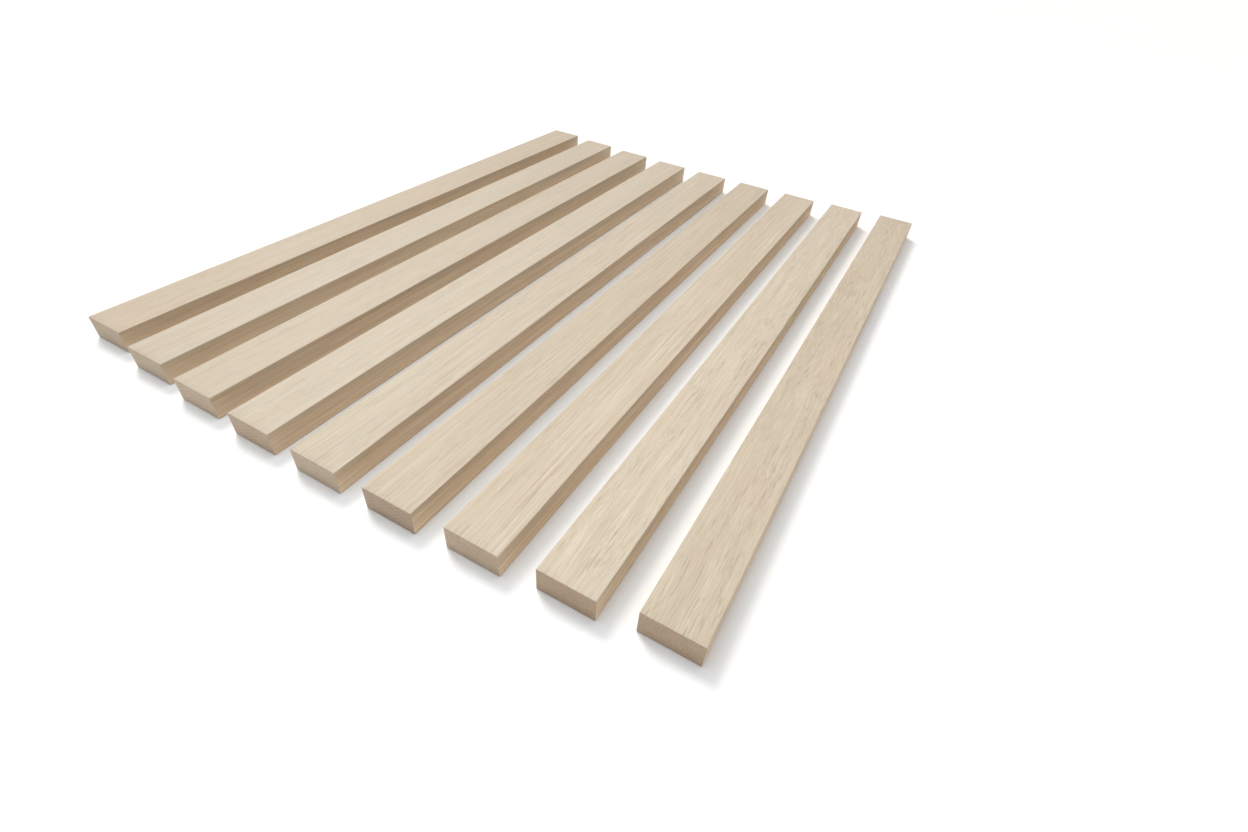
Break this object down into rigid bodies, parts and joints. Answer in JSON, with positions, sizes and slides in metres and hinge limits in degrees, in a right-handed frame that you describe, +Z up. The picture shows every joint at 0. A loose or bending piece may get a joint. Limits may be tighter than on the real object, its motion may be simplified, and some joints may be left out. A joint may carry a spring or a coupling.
{
  "type": "acoustic slat panel",
  "caption": "Row of straight, pale wooden slats of one size, lying parallel with open gaps, that breaks up and scatters sound in front of a wall or ceiling.",
  "frame": {"origin": "middle of the row's footprint, at the level of the slats' backs, which lie on a flat surface", "axes": "+X across the row from the first slat to the last, +Y along the slats from their near ends to their far ends, +Z up out of the slats' faces"},
  "size_m": [0.363, 0.4606, 0.013],
  "materials": {
    "oak": "pale, fine straight grain, planed and sanded, matt"
  },
  "bodies": {
    "root": {"slat_1": "oak", "slat_2": "oak", "slat_3": "oak", "slat_4": "oak", "slat_5": "oak", "slat_6": "oak", "slat_7": "oak", "slat_8": "oak", "slat_9": "oak"}
  },
  "joints": []
}
